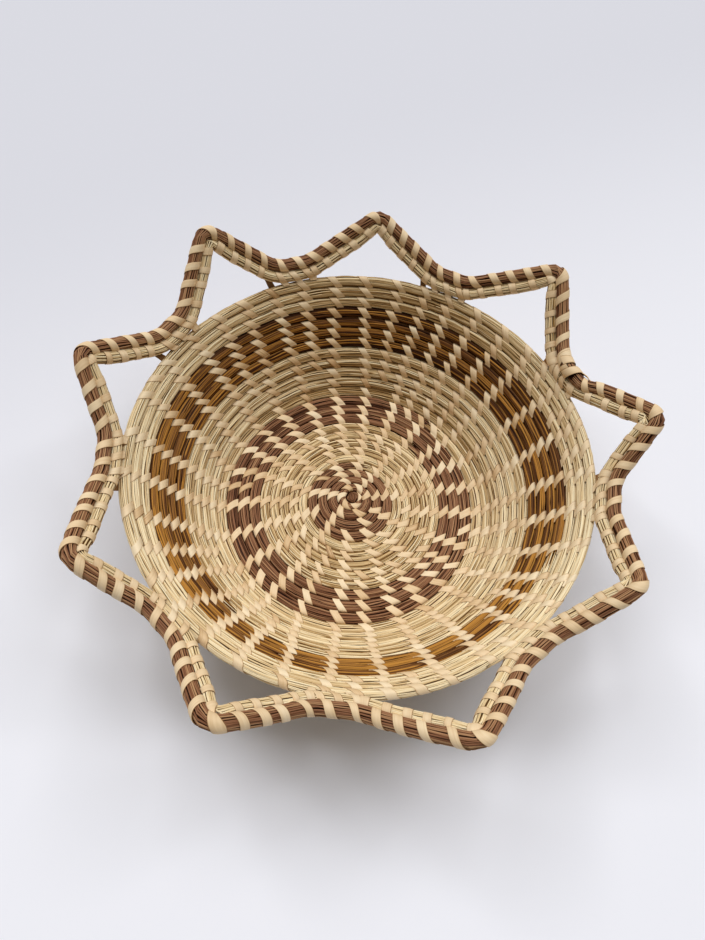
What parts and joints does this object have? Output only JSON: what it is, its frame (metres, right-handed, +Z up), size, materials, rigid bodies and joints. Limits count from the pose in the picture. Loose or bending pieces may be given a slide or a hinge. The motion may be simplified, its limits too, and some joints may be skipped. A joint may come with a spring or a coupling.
{
  "type": "basket",
  "caption": "Round coiled grass basket with a flat base, a flared wall and a looped star rim, for holding bread, fruit or small things.",
  "frame": {"origin": "the middle of the start knot's flat underside, on the surface that the basket stands on", "axes": "+Z up, out of the bowl's mouth; -Y towards the viewer of the picture and +X to the right"},
  "size_m": [0.3014, 0.2994, 0.1012],
  "materials": {
    "pine_needle": "matt, mauve-brown dried needles laid in a bundle",
    "sweetgrass": "satin, pale straw-coloured grass laid in a bundle",
    "bulrush": "satin, golden brown rush stems laid in a bundle",
    "palmetto": "matt, cream strips of palm leaf"
  },
  "bodies": {
    "root": {"start_knot": "pine_needle", "centre_coil": "pine_needle", "inner_coil": "sweetgrass", "medallion_coil": "pine_needle", "wall_coil": "sweetgrass", "band_coil": "bulrush", "rim_coil": "sweetgrass", "star_slim_coil": "sweetgrass", "star_wrapped_coil": "pine_needle", "star_splice_wrap": "palmetto", "star_wrap_1": "palmetto", "star_lashing_1": "palmetto", "star_wrap_2": "palmetto", "star_lashing_2": "palmetto", "star_wrap_3": "palmetto", "star_lashing_3": "palmetto", "star_wrap_4": "palmetto", "star_lashing_4": "palmetto", "star_wrap_5": "palmetto", "star_lashing_5": "palmetto", "star_wrap_6": "palmetto", "star_lashing_6": "palmetto", "star_wrap_7": "palmetto", "star_lashing_7": "palmetto", "star_wrap_8": "palmetto", "star_lashing_8": "palmetto", "star_wrap_9": "palmetto", "star_lashing_9": "palmetto"}
  },
  "joints": []
}
